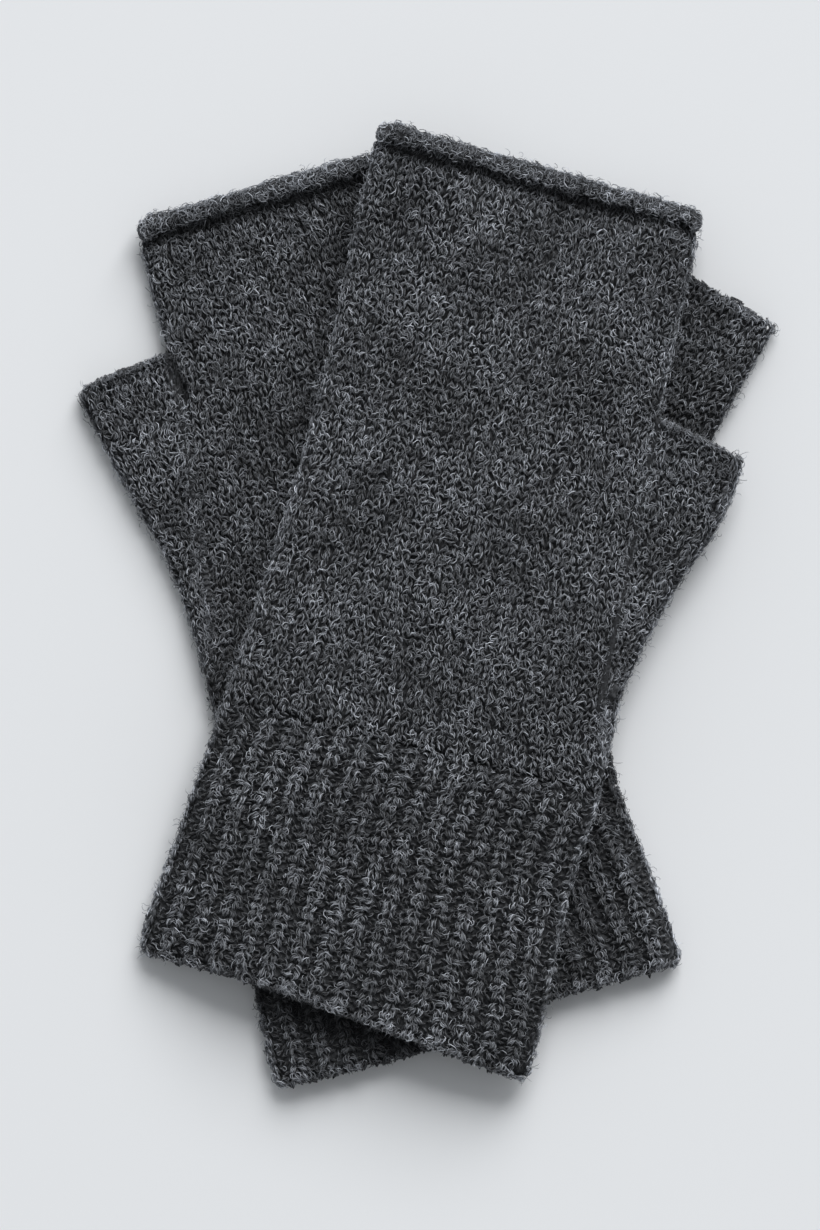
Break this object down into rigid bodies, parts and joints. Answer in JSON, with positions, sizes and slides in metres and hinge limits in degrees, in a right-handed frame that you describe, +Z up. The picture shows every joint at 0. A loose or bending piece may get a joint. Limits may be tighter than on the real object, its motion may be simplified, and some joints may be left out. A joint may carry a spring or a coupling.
{
  "type": "pair of fingerless mittens",
  "caption": "Pair of ribbed fingerless mittens in dark heathered wool, laid flat with one crossed on the other, finger ends rolled forward.",
  "frame": {"origin": "on the surface that the pair lies on, under the middle of its bounding box", "axes": "+Z up from the surface, +Y towards the finger ends, +X to the right seen from above"},
  "size_m": [0.1585, 0.22, 0.014],
  "materials": {
    "plain_knit": "plain-knit heathered wool, soft and matte with a fibrous nap",
    "rib_knit": "ribbed heathered wool, soft and matte with a fibrous nap"
  },
  "bodies": {
    "root": {"lower_cuff_back": "rib_knit", "lower_cuff_palm": "rib_knit", "lower_hand_back": "plain_knit", "lower_hand_palm": "plain_knit", "lower_side_sleeve_back": "plain_knit", "lower_side_sleeve_palm": "plain_knit", "lower_thumb_back": "plain_knit", "lower_thumb_palm": "plain_knit", "upper_cuff_back": "rib_knit", "upper_cuff_palm": "rib_knit", "upper_hand_back": "plain_knit", "upper_hand_palm": "plain_knit", "upper_thumb_back": "plain_knit", "upper_thumb_palm": "plain_knit"}
  },
  "joints": []
}
